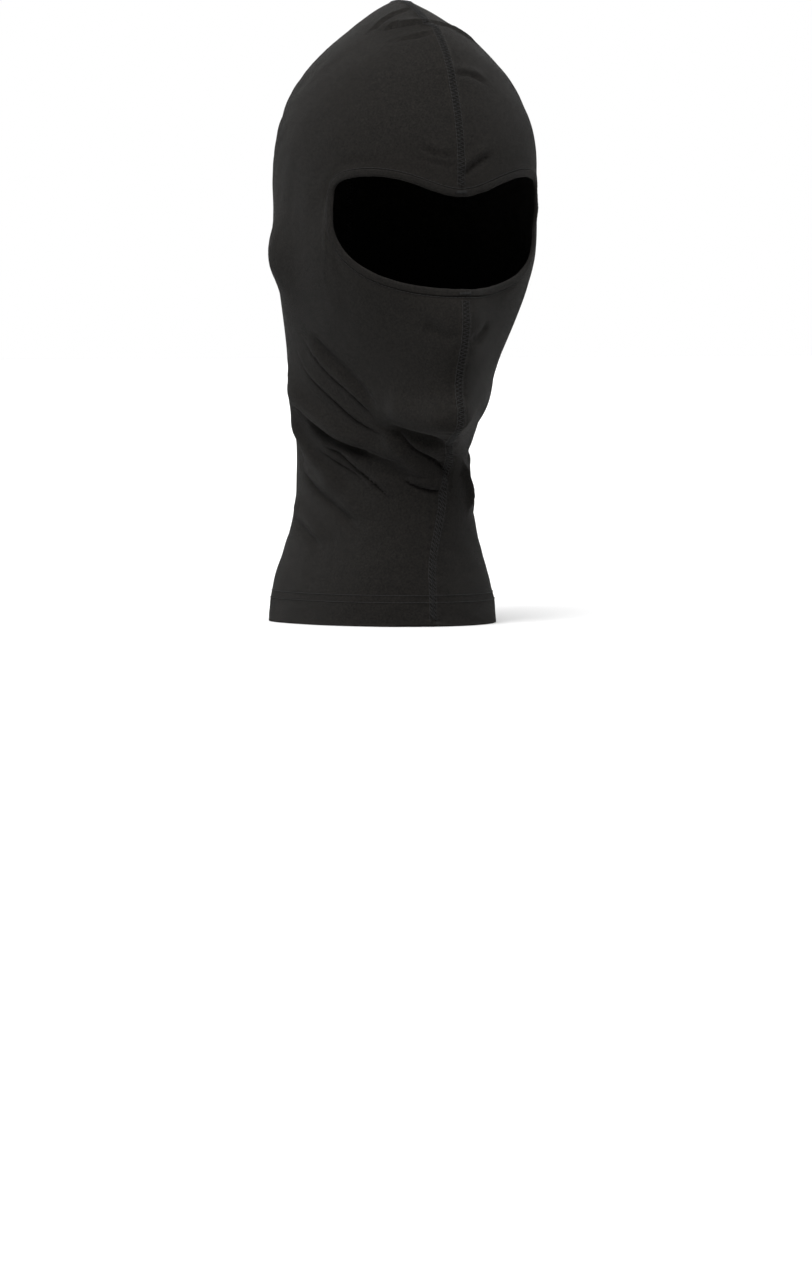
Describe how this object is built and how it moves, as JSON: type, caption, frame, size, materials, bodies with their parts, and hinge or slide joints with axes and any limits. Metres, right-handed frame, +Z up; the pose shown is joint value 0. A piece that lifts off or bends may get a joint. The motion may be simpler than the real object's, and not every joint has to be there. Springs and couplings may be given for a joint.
{
  "type": "balaclava",
  "caption": "Close-fitting knit balaclava with one wide eye opening, flatlock centre seams, a bound eye hem and a long neck, in its worn shape and standing on its neck hem.",
  "frame": {"origin": "middle of the bounding box on the plane that the neck hem stands on", "axes": "+Z up the body to the crown, -Y the way the face looks, +X the wearer's left; the centre seams lie in the plane X = 0"},
  "size_m": [0.1638, 0.2074, 0.3715],
  "materials": {
    "knit_cloth": "matt fine stretch knit, near black",
    "knit_binding": "matt fine stretch knit, near black",
    "sewing_thread": "soft polyester thread, black",
    "elastic": "matt round elastic",
    "label_satin": "blank woven satin, dark grey"
  },
  "bodies": {
    "root": {"right_panel": "knit_cloth", "left_panel": "knit_cloth", "crown_seam_needle_threads": "sewing_thread", "crown_seam_cover_thread": "sewing_thread", "front_seam_needle_threads": "sewing_thread", "front_seam_cover_thread": "sewing_thread", "eye_hem_binding": "knit_binding", "eye_hem_elastic": "elastic", "eye_hem_stitching": "sewing_thread", "upper_bar_tack": "sewing_thread", "lower_bar_tack": "sewing_thread", "neck_hem_needle_threads": "sewing_thread", "neck_hem_cover_thread": "sewing_thread", "care_label": "label_satin", "care_label_stitches": "sewing_thread"}
  },
  "joints": []
}
